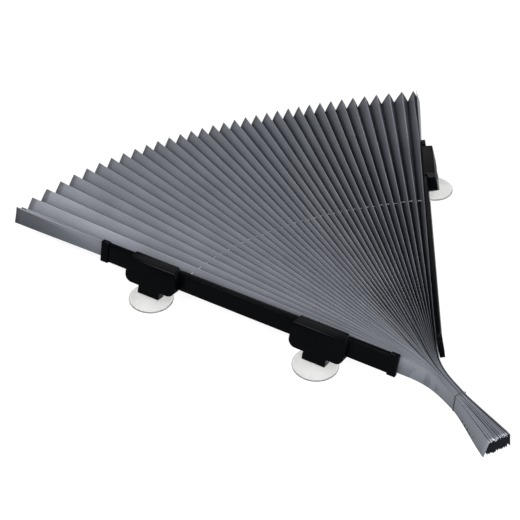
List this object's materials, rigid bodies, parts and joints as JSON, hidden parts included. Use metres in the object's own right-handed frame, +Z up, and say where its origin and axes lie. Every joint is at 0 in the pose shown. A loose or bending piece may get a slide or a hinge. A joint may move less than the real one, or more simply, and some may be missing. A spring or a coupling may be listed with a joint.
{
  "type": "windscreen sunshade",
  "caption": "Fan-shaped pleated sunshade film between two black side rails, with suction cups in clip-on brackets.",
  "frame": {"origin": "middle of the outline on the ground, at the level of the suction cups' lips", "axes": "+Y from the tied tail towards the open edge of the fan, +X towards the rail with one cup, +Z up from the cups"},
  "size_m": [0.5948, 0.65, 0.047],
  "materials": {
    "film": "aluminised film, satin",
    "gloss_black": "moulded, semi-gloss",
    "matt_black": "moulded, matt",
    "clear_vinyl": "clear soft vinyl",
    "screw_steel": "zinc plated"
  },
  "bodies": {
    "shade": {"pleated_film": "film", "left_rail_channel": "gloss_black", "left_rail_bar": "matt_black", "left_tip_cap": "gloss_black", "left_waist_cap": "gloss_black", "right_rail_channel": "gloss_black", "right_rail_bar": "matt_black", "right_tip_cap": "gloss_black", "right_waist_cap": "gloss_black", "left_tip_bracket_body": "gloss_black", "left_tip_bracket_back": "matt_black", "left_tip_bracket_screw_1": "screw_steel", "left_tip_bracket_screw_2": "screw_steel", "left_waist_bracket_body": "gloss_black", "left_waist_bracket_back": "matt_black", "left_waist_bracket_screw_1": "screw_steel", "left_waist_bracket_screw_2": "screw_steel", "right_bracket_body": "gloss_black", "right_bracket_back": "matt_black", "right_bracket_screw_1": "screw_steel", "right_bracket_screw_2": "screw_steel"},
    "left_tip_suction_cup": {"left_tip_suction_cup": "clear_vinyl"},
    "left_waist_suction_cup": {"left_waist_suction_cup": "clear_vinyl"},
    "right_suction_cup": {"right_suction_cup": "clear_vinyl"}
  },
  "joints": [
    {"name": "left_tip_cup_swivel", "type": "hinge", "parent": "shade", "child": "left_tip_suction_cup", "pos_m": [-0.19887, 0.06184, 0.009], "axis": [0, 0, 1], "continuous": true},
    {"name": "left_waist_cup_swivel", "type": "hinge", "parent": "shade", "child": "left_waist_suction_cup", "pos_m": [-0.08573, -0.11922, 0.009], "axis": [0, 0, 1], "continuous": true},
    {"name": "right_cup_swivel", "type": "hinge", "parent": "shade", "child": "right_suction_cup", "pos_m": [0.21477, 0.08728, 0.009], "axis": [0, 0, 1], "continuous": true}
  ]
}
